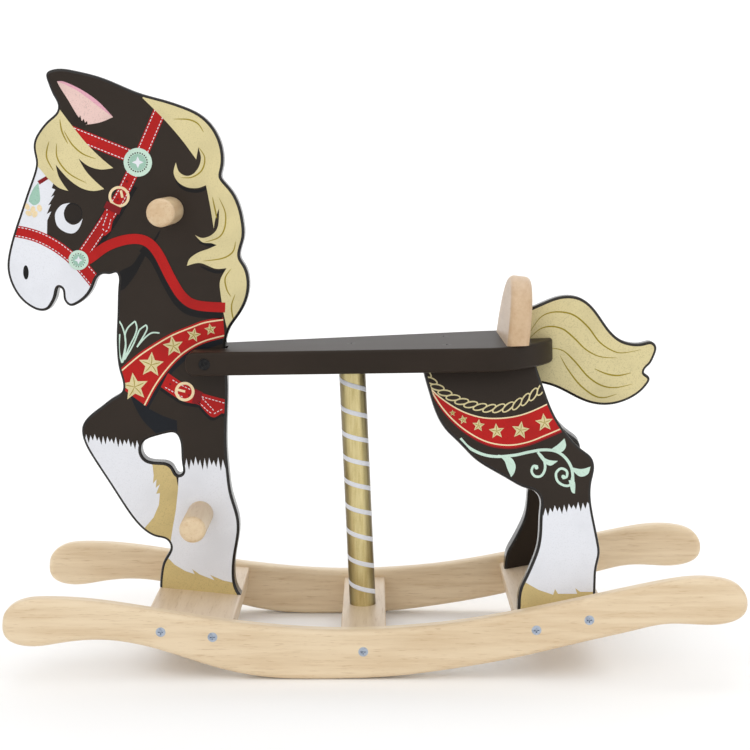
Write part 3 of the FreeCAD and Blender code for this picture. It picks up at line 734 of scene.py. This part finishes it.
# ---------------- head, neck and front legs
@dataclass
class FrontPanel(Board):
    """Everything printed on the board of the head, neck and front legs."""

    faces: list[BoardFace] = field(default_factory=lambda: both_sides("front_panel", "front_panel"))
    prefix: str = "panel"
    strap_width: float = 12.5
    rein_width: float = 10.6
    line_width: float = 1.5
    strand_width: float = 1.5

    def build(self) -> None:
        """Print the whole board."""
        sections = (self.ear, self.blaze, self.eye, self.mane, self.forelock, self.bridle, self.rein,
                    self.breastplate, self.girth, self.legs)
        for print_section in sections:
            print_section()

    def ear(self) -> None:
        """Print the pink inside of the ear, its deeper upper edge and the hair at its foot."""
        tip = (-327, 609)
        heel = (-269, 572)
        upper = [tip, (-319, 608.5), (-301, 600), (-284, 588), heel]
        inside = patch([(-298, 564), (-306, 573), (-316, 590), (-323.5, 602), tip], upper[1:],
            [(-283, 566.5), (-298, 564)])
        deep = patch(upper, [(-284, 583), (-303, 597.5), (-318, 605.5), tip])
        self.lay("ear", Print.ROSE, 1, [inside])
        self.lay("ear_edge", Print.PINK, 2, [deep])
        tufts = [[(-311, 566), (-308, 575), (-305.5, 569)], [(-307, 567), (-303.5, 574), (-302, 567.5)],
            [(-303, 566), (-300, 570.5), (-298.5, 566)], [(-312, 565), (-296, 566.5), (-300, 561)],
            [(-299.5, 565.5), (-296.5, 568), (-296, 564)]]
        self.lay("ear_tufts", Print.BROWN, 2, tufts)

    def blaze(self) -> None:
        """Print the white blaze, its ornament, the white muzzle and the nostril."""
        ragged = [(-331.3, 511), (-333.4, 503.5), (-335.4, 498), (-331.7, 496.5), (-336.6, 488.5), (-332.8, 490.6),
            (-339.7, 480), (-336.8, 481), (-341.5, 470.7), (-336.6, 473.5), (-341.1, 464), (-342, 446)]
        blaze = [(-362, 530), (-345, 520), *ragged, (-385, 452), (-380, 480)]
        muzzle = patch([(-400, 452), (-360, 446), (-344, 440), (-331, 430), (-318, 417), (-306, 407), (-291, 391)],
            [(-288, 360), (-330, 345), (-400, 360)])
        self.lay("white_face", Print.WHITE, 1, [blaze, muzzle])
        self.lay("nostril", Print.BLACK, 2, [disc((-365.3, 409), 2.9, 2.6)])
        leaves = [patch([(-349.4, 503.5), (-354.5, 498), (-359, 489), (-360, 484)],
            [(-354.5, 480), (-348.5, 484), (-348.4, 494), (-349.4, 503.5)])]
        petals = [disc(spot, 2.6, 1.4, tilt, 20) for spot, tilt in (((-362, 478.5), 30), ((-356, 475.5), -10),
            ((-360.5, 471.5), 60), ((-354, 470.5), -30), ((-349, 477), 10))]
        self.lay("brow_leaves", Print.SAGE, 2, leaves)
        self.lay("brow_petals", Print.IVORY, 3, petals)
        self.lay("brow_tie", Print.CRIMSON, 2, [[(-350.3, 505.4), (-348.1, 501.8), (-338, 508), (-340.4, 511)]])

    def eye(self) -> None:
        """Print the dark pupil and the white crescent round it."""
        crescent = patch([(-316.5, 482.5), (-326, 480), (-332.5, 471), (-331, 459), (-323, 452), (-314, 450.5),
            (-307.5, 456), (-303.5, 466)],
            [(-308.5, 461), (-315, 459.5), (-321.5, 464), (-323.3, 472), (-320.5, 479), (-316.5, 482.5)])
        self.lay("pupil", Print.BLACK, 1, [disc((-314, 472), 10.2)])
        self.lay("iris", Print.BROWN, 2, [disc((-313.8, 471.8), 9.2)])
        self.lay("eye_white", Print.WHITE, 3, [crescent])

    def mane(self) -> None:
        """Print the mane with its curls, the shadows behind them and the strand lines."""
        top = (-238, 592)
        tail_end = (-150, 340)
        outside = [top, (-205, 620), (-140, 590), (-100, 500), (-95, 400), (-120, 345), tail_end]
        low_tip = (-194, 416)
        mid_tip = (-185, 448.5)
        curl_tip = (-204, 525)
        lobe_tip = (-182.5, 528)
        shape = outside + patch([tail_end, (-155, 362), (-158.5, 385), (-159, 400), (-152, 413.5)],
            [(-164, 413), (-180, 419), low_tip], [(-191, 423.5), (-182, 430), (-171, 434), (-162, 438)],
            [(-168, 440), (-177, 441), mid_tip], [(-177, 445.5), (-167, 449), (-160.5, 458), (-159, 477)],
            [(-163, 466), (-165, 455.5)], [(-168, 476), (-172.5, 501)],
            [(-182, 498), (-193, 499), (-202, 504.5), (-206.5, 514), curl_tip],
            [(-201, 515.5), (-194, 511), (-186.5, 512.5), (-180, 520), (-177.5, 530), (-180, 540.5)], [lobe_tip],
            [(-197, 548), (-215, 569), top])
        self.lay("mane", Print.CREAM, 5, [shape])
        strands = [[(-206, 570), (-190, 569.5), (-180, 565), (-174, 556)],
            [(-180, 541), (-173.5, 530), (-176.5, 517), (-187, 509.5), (-199, 509)],
            [(-159, 488), (-152.5, 472), (-153.5, 456), (-160, 446), (-175, 441)],
            [(-142, 442), (-145, 431), (-156, 424), (-177, 421)],
            [(-147, 413), (-153.5, 403), (-152, 391), (-147.5, 383)],
            [(-142, 352), (-146, 362), (-147, 374), (-143, 386)], [(-166, 489), (-163, 474), (-161.5, 466)]]
        self.lay("mane_strands", Print.OLIVE, 6, strokes(strands, self.strand_width))
        shadows = [[(-160, 507), (-178, 495.5), (-195, 497), (-205, 506)], [(-158, 437.5), (-170, 438), (-181, 441)],
            [(-151, 411.5), (-163, 409.5), (-180, 415.5)]]
        self.lay("mane_shadows", Print.BLACK, 1, strokes(shadows, 3.4))

    def forelock(self) -> None:
        """Print the forelock that falls over the brow, and its strand lines."""
        root = (-324, 579)
        tips = ((-270, 519), (-280, 497), (-318, 495))
        notches = ((-306.5, 529), (-330.5, 522.5))
        shape = patch([root, (-313, 564), (-297, 544), (-282, 529), tips[0]], [(-283, 517.5), (-296, 521),
            notches[0]], [(-299, 516), (-290, 506), tips[1]], [(-292, 495), (-305, 498.5), (-318, 508), notches[1]],
            [(-328, 511), (-323, 502), tips[2]], [(-328, 498.5), (-339, 508), (-348, 519), (-358, 527)])
        shape += [(-372, 545), (-355, 582), (-331, 590)]
        self.lay("forelock", Print.CREAM, 5, [shape])
        strands = [[(-325, 570), (-323, 557), (-317, 544)], [(-321, 558), (-313, 544), (-302, 534), (-288, 528.5)],
            [(-337, 547), (-340, 531), (-333, 516)], [(-329, 545), (-328.5, 529), (-317, 513.5), (-298, 503)]]
        self.lay("forelock_strands", Print.OLIVE, 6, strokes(strands, self.strand_width))

    def bridle(self) -> None:
        """Print the straps of the head, their stitches, rosettes and buckle."""
        width = self.strap_width
        straps = [([(-320, 558.8), (-305, 552.8), (-280, 542.8), (-246, 529.2)], width + 1.4),
                  ([(-213, 592), (-221, 575.6), (-229.6, 556.5), (-242, 529)], width + 1.0),
                  ([(-248, 518), (-262, 491), (-281, 461), (-304, 428)], width + 0.5),
                  ([(-392, 453), (-374, 452.5), (-352, 447), (-331, 436), (-311, 420)], width),
                  ([(-313, 424), (-301, 410), (-286, 391)], width + 1.5)]
        shadow = [(-253, 503), (-266, 481), (-284, 453), (-297, 433)]
        self.lay("strap_shadow", Print.BLACK, 2, stroke(shadow, width + 6))
        self.lay("straps", Print.RED, 3, [shape for strap in straps for shape in stroke(*strap)])
        self.lay("strap_stitches", Print.WHITE, 4, [mark for strap in straps for mark in stitches(*strap)])
        tip = [(-280, 475), (-270, 471.5), (-274, 453), (-280.5, 447.5), (-286.5, 455)]
        self.lay("strap_end", Print.RED, 5, [tip])
        inner = [(-277, 472), (-283, 456), (-280, 451.5), (-276.5, 455), (-273, 468)]
        marks = [mark for ends in zip(inner, inner[1:]) for mark in dashes(ends, 0.8)]
        self.lay("strap_end_stitches", Print.WHITE, 6, marks)
        self.lay("keeper", Print.CRIMSON, 6, [[(-277.5, 484.5), (-262, 477), (-265, 470), (-281, 477.5)]])
        self.lay("buckle", Print.IVORY, 5, buckle((-264.5, 489), 11.2, 8.4, [(-261, 488), (-262.5, 495.5)]))
        holes = [disc(centre, 1.3, sides=12) for centre in ((-256, 505), (-266, 486))]
        self.lay("strap_holes", Print.CRIMSON, 5, holes)
        brow, cheek = rosette((-244, 525), 15.0, 24), rosette((-309, 422), 10.6, 16)
        coats = (("rosettes", Print.MINT, 7), ("rosette_fields", Print.SAGE, 8), ("rosette_beads", Print.BROWN, 8),
            ("rosette_stars", Print.WHITE, 9))
        for coat, upper, lower in zip(coats, brow, cheek):
            self.lay(*coat, upper + lower)

    def rein(self) -> None:
        """Print the rein from the bit to the withers, with the shadow it throws."""
        line = [(-303, 421), (-296, 424.5), (-278, 437), (-256, 444), (-238, 442.5), (-225, 430), (-211, 402),
            (-199, 383), (-184, 374), (-153.9, 371.5)]
        self.lay("rein_shadow", Print.BLACK, 2, stroke(shifted(line[4:], -3, -7), self.rein_width))
        jaw = patch([(-229, 441), (-237, 428), (-243, 417), (-250, 405), (-260.5, 392), (-268, 389)],
            [(-267, 408), (-252.3, 417), (-242.5, 430), (-229, 441)])
        crease = stroke([(-221.5, 454), (-226.5, 445), (-232, 437)], 2.4, taper=True)
        self.lay("jaw_shadow", Print.BLACK, 1, [jaw, *crease])
        self.lay("rein", Print.RED, 6, stroke(line, self.rein_width))

    def breastplate(self) -> None:
        """Print the red breastplate with its cream lines and stars, and the leaves above it."""
        upper = [(-156.5, 361), (-176, 358), (-190, 353), (-214, 343), (-239, 328), (-254, 317), (-276, 298)]
        lower = [(-240, 265), (-228.5, 286), (-214, 305.5), (-198, 321), (-178, 332.5), (-154.8, 339.2)]
        band = patch(upper, [(-264, 283)], [(-240, 265)], lower[1:])
        self.lay("breastplate", Print.RED, 2, [band])
        lines = strokes([beside(smooth(upper), 2.6), beside(smooth(lower), 2.4)], self.line_width, taper=False)
        self.lay("breastplate_lines", Print.IVORY, 3, lines)
        stars = [((-170, 348), 6.6, 8), ((-188, 342), 8.0, -10), ((-210, 330), 11.4, 8), ((-234, 310), 14.0, -4),
            ((-252.5, 286), 15.6, 6)]
        self.lay_stars("breast", stars, 0.9)
        leaves = [[(-267.4, 357), (-264.3, 351.5), (-261.6, 342), (-261, 332), (-263.7, 319), (-265.3, 312)],
            [(-267, 343), (-268, 325), (-265.3, 312)],
            [(-250.3, 357), (-258, 350), (-261.3, 342), (-260.8, 331), (-262, 322), (-264.8, 312.5)],
            [(-250.3, 357), (-248.6, 350), (-250.6, 342), (-255.7, 332), (-260, 322.5), (-264.8, 312.5)],
            [(-238.5, 353), (-245.3, 348), (-248.3, 342), (-253.5, 330.5), (-262.4, 315.5)],
            [(-238.5, 353), (-237.7, 348.6), (-240.9, 342), (-248.6, 329.5)],
            [(-224.5, 344.2), (-232, 344.5), (-238, 341), (-244.4, 334.5), (-248.8, 329)]]
        self.lay("breast_leaves", Print.MINT, 1, strokes(leaves, 1.6, taper=False))

    def girth(self) -> None:
        """Print the lower strap with its buckle, and the deep shadow under the breastplate."""
        hollow = patch([(-258, 279), (-243.5, 266.7), (-234.6, 261), (-221, 254), (-207.6, 249.5)], [(-207, 236)],
            [(-224.9, 232), (-233.8, 239), (-243.8, 249.5), (-251.5, 263), (-258, 279)])
        edge = stroke([(-242, 261), (-230, 282), (-216, 301), (-199, 317), (-180, 328), (-157, 336)], 6)
        self.lay("chest_shadow", Print.NAVY, 1, [hollow, *edge])
        strap = patch([(-216, 301), (-203, 292), (-191, 285)], [(-179, 279), (-150, 271)],
            [(-150, 258), (-159, 257.5)], [(-167, 253), (-173.5, 256), (-183, 267)],
            [(-199, 270), (-210, 276), (-224, 286)])
        self.lay("girth_shadow", Print.BLACK, 2, [shifted(strap, -1, -3.5)])
        self.lay("girth", Print.RED, 3, [strap])
        rows = [[(-212, 294), (-203, 288.5), (-192, 283)], [(-220, 286), (-209, 279.5), (-199, 274)],
            [(-181, 275.5), (-170, 272.5), (-156, 268.5)], [(-184, 270), (-174, 260), (-168, 256.5)],
            [(-168, 256.5), (-160, 261), (-156, 262)], [(-180, 274), (-169, 262), (-166, 258)]]
        self.lay("girth_stitches", Print.WHITE, 4, [mark for row in rows for mark in dashes(row, 0.8)])
        self.lay("girth_keeper", Print.CRIMSON, 4, [[(-187, 284), (-179, 280), (-182.5, 266), (-191, 269)]])
        self.lay("girth_buckle", Print.IVORY, 5, buckle((-198.5, 281), 10.6, 7.6, [(-206, 283), (-198, 281)]))
        holes = [disc(centre, 1.2, sides=12) for centre in ((-214, 289), (-194, 277))]
        self.lay("girth_holes", Print.CRIMSON, 4, holes)

    def legs(self) -> None:
        """Print the white socks and the gold hooves of both front legs."""
        bent = fringe((-312, 235.5), (-248.5, 227), 14, 9.5) + [(-243, 208), (-234.6, 200.5), (-233.6, 189.5),
            (-234.5, 180.3), (-230.6, 185), (-231.6, 175.6), (-227, 179.6), (-231.3, 169), (-227.2, 169.8),
            (-228.5, 157), (-234.5, 143), (-246.2, 129), (-330, 190)]
        straight = fringe((-205, 208.5), (-151, 207.5), 11, 13) + [(-120, 190), (-125, 60), (-147.4, 69.8),
            (-160, 72.7), (-174.2, 79), (-169.2, 72.9), (-185.2, 79.3), (-193.6, 85.4), (-190.9, 79.8),
            (-201.2, 83.3), (-212.5, 90.3), (-222.5, 101), (-216.5, 116), (-214, 131.4), (-210.4, 150), (-207.7, 172),
            (-206.5, 190)]
        self.lay("socks", Print.WHITE, 2, [bent, straight])
        bent_hoof = [(-250, 203), (-212, 203), (-206.5, 172), (-209, 150), (-213, 130), (-219, 108), (-262, 120),
            (-262, 150)]
        straight_hoof = [(-212, 130), (-225, 100), (-240, 50), (-120, 50), (-125, 90), (-200, 90)]
        self.lay("hooves", Print.SAND, 1, [bent_hoof, straight_hoof])


# ---------------- hind legs
@dataclass
class Haunches(Board):
    """Everything printed on the outer faces of both hind leg boards."""

    faces: list[BoardFace] = field(default_factory=lambda: both_sides("haunch_left", "haunch_right"))
    prefix: str = "haunch"
    line_width: float = 1.4
    links: int = 15

    LINK = (8.0, 6.5, 0.46)
    LINK_TILT = 27
    ROPE = ((57, 317), (61, 308), (71, 297), (86, 287), (104, 279.5), (125, 275), (146, 276.5), (163, 284), (184, 298))
    BAND_TOP = ((55, 309), (63, 297), (74, 286.5), (90, 275.5), (107, 268), (125, 264.5), (147, 265.5), (168, 271),
        (196, 284))

    def build(self) -> None:
        """Print both boards."""
        self.rope()
        self.band()
        self.vine()
        self.leg()

    def rope(self) -> None:
        """Print the twisted cord as a row of slanting links."""
        line = smooth(self.ROPE)
        lengths = running(line)
        rings: Shapes = []
        for index in range(self.links):
            place = lengths[-1] * (index + 0.5) / self.links
            centre = _along(line, lengths, place)
            ahead = _along(line, lengths, min(place + 2, lengths[-1]))
            heading = math.degrees(math.atan2(ahead[1] - centre[1], ahead[0] - centre[0]))
            rings += ring(centre, *self.LINK, heading + self.LINK_TILT)
        self.lay("rope", Print.CREAM, 2, rings)

    def band(self) -> None:
        """Print the red band with its rim, cream lines and stars."""
        outer = [(204, 252.5), (184, 244), (165, 236.8), (144, 233.8), (121, 238), (98, 251.2), (79, 269.5),
            (64, 292), (55, 309)]
        rim = patch(self.BAND_TOP, [(212, 257), (204, 250.5)]) + smooth(shifted(outer, 0.3, -1.5))
        self.lay("band_rim", Print.CRIMSON, 1, [rim])
        self.lay("band", Print.RED, 2, [patch(self.BAND_TOP, [(212, 257), (204, 252.5)]) + smooth(outer)[1:]])
        lines = strokes([self.BAND_TOP, shifted(outer, 0, 2.6)], self.line_width, taper=False)
        self.lay("band_lines", Print.IVORY, 3, lines)
        stars = [((87, 270), 3.4, 0), ((98, 263), 5.0, 10), ((114, 257), 6.8, -6), ((133, 251), 8.4, 5),
            ((158, 252), 9.6, -8), ((183, 260), 9.8, 6)]
        self.lay_stars("band", stars, 0.7)

    def vine(self) -> None:
        """Print the pale vine with its leaves and curls."""
        stem = [(95, 243.5), (104, 234), (118, 227), (133, 224.5), (152, 226), (166, 229), (181, 231.5), (195, 230),
            (205, 223), (211, 213), (212.5, 202), (212.5, 190)]
        near = [(176, 229), (182, 222), (183.5, 212), (179.5, 204.5), (173, 204), (169.5, 209), (171.5, 214.5),
            (176, 214)]
        far = [(212, 203), (209.5, 195), (203, 194.5), (196.5, 199), (195, 207), (200, 212), (206, 209.5),
            (206, 203.5), (201.5, 202)]
        edges = [([(134, 226.5), (147, 224), (152.5, 216), (151.5, 208), (148, 203)], [(144, 212), (141, 220)]),
            ([(174, 230), (186, 221.5), (197, 220)], [(189, 215), (181, 220)]),
            ([(189, 231.5), (197, 237), (204, 243.5)], [(205.5, 235), (200, 229)]),
            ([(209, 214), (221, 211.5), (231, 214)], [(228, 206), (219, 204)]),
            ([(208, 200), (214.5, 198), (214.5, 186)], [(211, 188)])]
        leaves = [patch(outer, [*inner, outer[0]]) for outer, inner in edges]
        self.lay("vine", Print.MINT, 1, stroke(stem, 3.0) + strokes([near, far], 2.6, taper=False) + leaves)
        self.lay("vine_buds", Print.MINT, 2, [disc((174.5, 213), 2.0), disc((202.5, 203.5), 2.0)])

    def leg(self) -> None:
        """Print the white sock and the gold hoof."""
        sock = fringe((176.5, 170), (240, 179.5), 13, 9) + [(250, 150), (250, 84), (219, 84), (214, 88), (216, 82),
            (196, 82), (193, 87), (191, 81), (176, 86), (160, 95), (140, 110), (150, 140)]
        hoof = [(140, 110), (150, 40), (250, 40), (250, 95), (200, 92), (165, 100)]
        self.lay("socks", Print.WHITE, 2, [sock])
        self.lay("hooves", Print.SAND, 1, [hoof])


# ---------------- tail
@dataclass
class Tail(Board):
    """The cream tail with its strand lines, printed on both faces of the tail board."""

    faces: list[BoardFace] = field(default_factory=lambda: both_sides("tail_board", "tail_board"))
    prefix: str = "tail"
    slot: str = "painted_tail"
    strand_width: float = 1.7

    def build(self) -> None:
        """Print both faces."""
        low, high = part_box("tail_board")
        left, right, foot, top = low.x / MM - 1, high.x / MM + 1, low.z / MM - 1, high.z / MM + 1
        corners = [(left, foot), (right, foot), (right, top), (left, top)]
        self.lay("cream", Print.CREAM, 1, [corners])
        strands = [[(171, 344), (182, 360), (194, 366), (209, 366), (221, 361.5), (234, 350), (246, 334.5),
            (259, 325.5), (271, 322.5), (291, 326)],
            [(171, 338), (182, 348), (194, 351), (207, 348), (219, 338.5), (232, 326), (247, 318.5), (266, 317)],
            [(192, 328), (207, 325), (220, 313.5), (235, 296.5), (250, 287), (265, 285), (283, 289)],
            [(204, 320), (212, 306), (225, 289), (240, 277), (252, 274), (266, 278)],
            [(241, 305.5), (254, 300), (267, 298), (281, 301)]]
        self.lay("strands", Print.OLIVE, 2, strokes(strands, self.strand_width))


# ---------------- pole
@dataclass
class PoleBand:
    """White painted band that winds round the pole."""

    width: float = 5.2
    proud: float = 0.12
    across_steps: int = 6
    steps_per_turn: int = 48
    foot_gap: float = 0.4
    top_overlap: float = 2.5

    HEIGHTS = (42.0, 71.5, 100.0, 130.5, 158.0, 186.0, 211.5, 237.5, 265.0, 295.5, 322.0, 350.0)

    def build(self) -> bpy.types.Object:
        """Make the band as one closed thin strip and return it."""
        low, high = (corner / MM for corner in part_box("pole"))
        radius = (high.y - low.y) / 2
        lean = math.atan2((high.x - low.x) - 2 * radius, high.z - low.z)
        foot = Vector((high.x - radius, 0.0, low.z + radius * math.sin(lean)))
        axis = (Vector((low.x + radius, 0.0, high.z - radius * math.sin(lean))) - foot).normalized()
        side = (Vector((1.0, 0.0, 0.0)) - axis * axis.x).normalized()
        other = axis.cross(side)
        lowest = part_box("middle_cross_block")[1].z / MM + self.foot_gap
        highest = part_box("seat_board")[0].z / MM + self.top_overlap
        build = bmesh.new()
        rows = []
        for step in range((len(self.HEIGHTS) - 1) * self.steps_per_turn):
            turn, share = divmod(step / self.steps_per_turn, 1)
            below, above = self.HEIGHTS[int(turn):int(turn) + 2]
            height = below + share * (above - below)
            angle = math.pi - 2 * math.pi * step / self.steps_per_turn
            outward = side * math.cos(angle) + other * math.sin(angle)
            levels = [min(max(height + self.width * (across / self.across_steps - 0.5), lowest), highest)
                      for across in range(self.across_steps + 1)]
            rows.append([build.verts.new((foot + axis * ((level - foot.z) / axis.z) + outward * reach) * MM)
                         for reach, order in ((radius + self.proud, 1), (radius - self.proud, -1))
                         for level in levels[::order]])
        for first, second in zip(rows, rows[1:]):
            for index in range(len(first)):
                after = (index + 1) % len(first)
                build.faces.new([first[index], first[after], second[after], second[index]])
        build.faces.new(rows[0][::-1])
        build.faces.new(rows[-1])
        band = solid(build, "pole_band")
        for polygon in band.data.polygons:
            polygon.use_smooth = True
        return settle(band, Print.WHITE.value)


# ---------------- plain pieces
@dataclass
class Joinery:
    """Finishes of the frame's own pieces."""

    def build(self) -> None:
        """Dress every node of the frame."""
        along = LacqueredTimber("timber_rocker", Grain.ALONG)
        across = LacqueredTimber("timber_block", Grain.ACROSS, pale=(222, 200, 172), warm=(203, 178, 146))
        back = LacqueredTimber("timber_backrest", Grain.ACROSS, pale=(200, 171, 136), warm=(184, 151, 113))
        peg = LacqueredTimber("timber_peg", Grain.ACROSS, pale=(219, 196, 160), warm=(203, 172, 133))
        paint = SatinPaint("brown_paint", (41, 33, 26), (47, 38, 31))
        gold = MetallicPaint("gold_paint")
        zinc = Plating("zinc_plate", (176, 186, 200), (146, 156, 172))
        black = Plating("black_steel", (30, 30, 31), (52, 51, 50), metallic=0.85, roughness=0.24)
        dark = Plating("browned_steel", (38, 33, 29), (52, 45, 39), metallic=0.5, roughness=0.4)
        left, right = (tuple(face.normal) for face in both_sides("haunch_left", "haunch_right"))
        dressing = {
            along: ("rocker_left", "rocker_right"),
            across: ("front_cross_block", "middle_cross_block", "rear_cross_block", "tail_pin", "backrest_dowels"),
            back: ("backrest",),
            peg: ("hand_grip", "foot_peg"),
            paint: ("seat_board", "rump_block"),
            gold: ("pole",),
            zinc: ("rocker_screws", "panel_foot_screws", "hoof_screws", "backrest_screws", "rump_block_screws"),
            black: ("fork_bolt", "fork_sleeve_nut"),
            dark: ("pole_screws", "haunch_top_screws"),
            PrintedBoard("board_panel", (0.0, 1.0, 0.0)): ("front_panel",),
            PrintedBoard("board_tail", (0.0, 1.0, 0.0), edge=(24, 21, 14)): ("tail_board",),
            PrintedBoard("board_haunch_left", left): ("haunch_left",),
            PrintedBoard("board_haunch_right", right): ("haunch_right",),
        }
        for finish, names in dressing.items():
            for name in names:
                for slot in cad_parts[name].material_slots:
                    slot.material = material_of(finish)
                LOG.info("%s: %s", name, finish.name)


# ---------------- studio
@dataclass
class Studio:
    """Pale sweep, soft lights and camera."""

    eye: Colour = (5.8, -1710.3, 529.3)
    pitch_down: float = 7.717
    lens: float = 76.8
    sweep_width: float = 14000.0
    sweep_front: float = -5000.0
    sweep_bend: float = 2600.0
    sweep_radius: float = 1500.0
    sweep_top: float = 5000.0

    def build(self) -> None:
        """Make the sweep, the lights and the camera."""
        self.sweep()
        self.lights()
        self.camera()

    def sweep(self) -> None:
        """Make the floor that curves up into a backdrop."""
        radius = self.sweep_radius
        profile = [(self.sweep_front, 0.0), (0.0, 0.0), (self.sweep_bend, 0.0)]
        profile += [(self.sweep_bend + radius * math.sin(angle), radius * (1 - math.cos(angle)))
                    for angle in (math.pi / 2 * step / 16 for step in range(1, 17))]
        profile.append((self.sweep_bend + radius, self.sweep_top))
        build = bmesh.new()
        rows = [[build.verts.new(Vector((x, y, z)) * MM) for x in (-self.sweep_width / 2, self.sweep_width / 2)]
                for y, z in profile]
        for first, second in zip(rows, rows[1:]):
            build.faces.new([first[0], first[1], second[1], second[0]]).smooth = True
        piece = meshed(build, "sweep")
        bench = Bench("sweep_paper")
        colour = bench.add("ShaderNodeMix", {"data_type": "RGBA"},
                           {0: bench.noise(bench.place(), 3.0), 6: (0.96, 0.96, 0.96, 1.0),
                            7: (0.98, 0.98, 0.98, 1.0)}, 2)
        piece.data.materials.append(bench.finish(Base_Color=colour, Roughness=0.9))

    def lights(self) -> None:
        """Hang three broad lamps and one for the backdrop, and fill with an even pale sky."""
        self._lamp("key", (-1500, -2300, 2300), (-60, 0, 300), 2600, 17)
        self._lamp("fill", (1900, -2000, 1200), (60, 0, 280), 2400, 9)
        self._lamp("top", (100, 300, 2800), (0, 0, 200), 2600, 12)
        self._lamp("backdrop", (0, 1600, 3600), (0, 4100, 1700), 3200, 40)
        world = bpy.data.worlds.new("sky")
        world.use_nodes = True
        background = world.node_tree.nodes["Background"]
        background.inputs["Color"].default_value = (1.0, 1.0, 1.0, 1.0)
        background.inputs["Strength"].default_value = 0.84
        bpy.context.scene.world = world
        bpy.context.scene.view_settings.view_transform = "Standard"

    @staticmethod
    def _lamp(name: str, place: Colour, target: Colour, size: float, power: float) -> None:
        """Hang one square lamp that looks at a target."""
        lamp = bpy.data.lights.new(name, "AREA")
        lamp.size = size * MM
        lamp.energy = power
        piece = linked(name, lamp)
        piece.location = Vector(place) * MM
        piece.rotation_euler = (Vector(target) - Vector(place)).to_track_quat("-Z", "Y").to_euler()

    def camera(self) -> None:
        """Set the camera, level across and looking slightly down along +y."""
        camera = bpy.data.cameras.new("camera")
        camera.lens = self.lens
        piece = linked("camera", camera)
        piece.location = Vector(self.eye) * MM
        piece.rotation_euler = Matrix.Rotation(math.radians(90 - self.pitch_down), 3, "X").to_euler()
        bpy.context.scene.camera = piece


def main() -> None:
    """Dress the frame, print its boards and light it."""
    logging.basicConfig(level=logging.INFO, format="%(name)s %(message)s")
    for section in (Studio(), Joinery(), FrontPanel(), Haunches(), Tail(), PoleBand()):
        LOG.info("building %s", type(section).__name__)
        section.build()


if __name__ == "__main__":
    main()
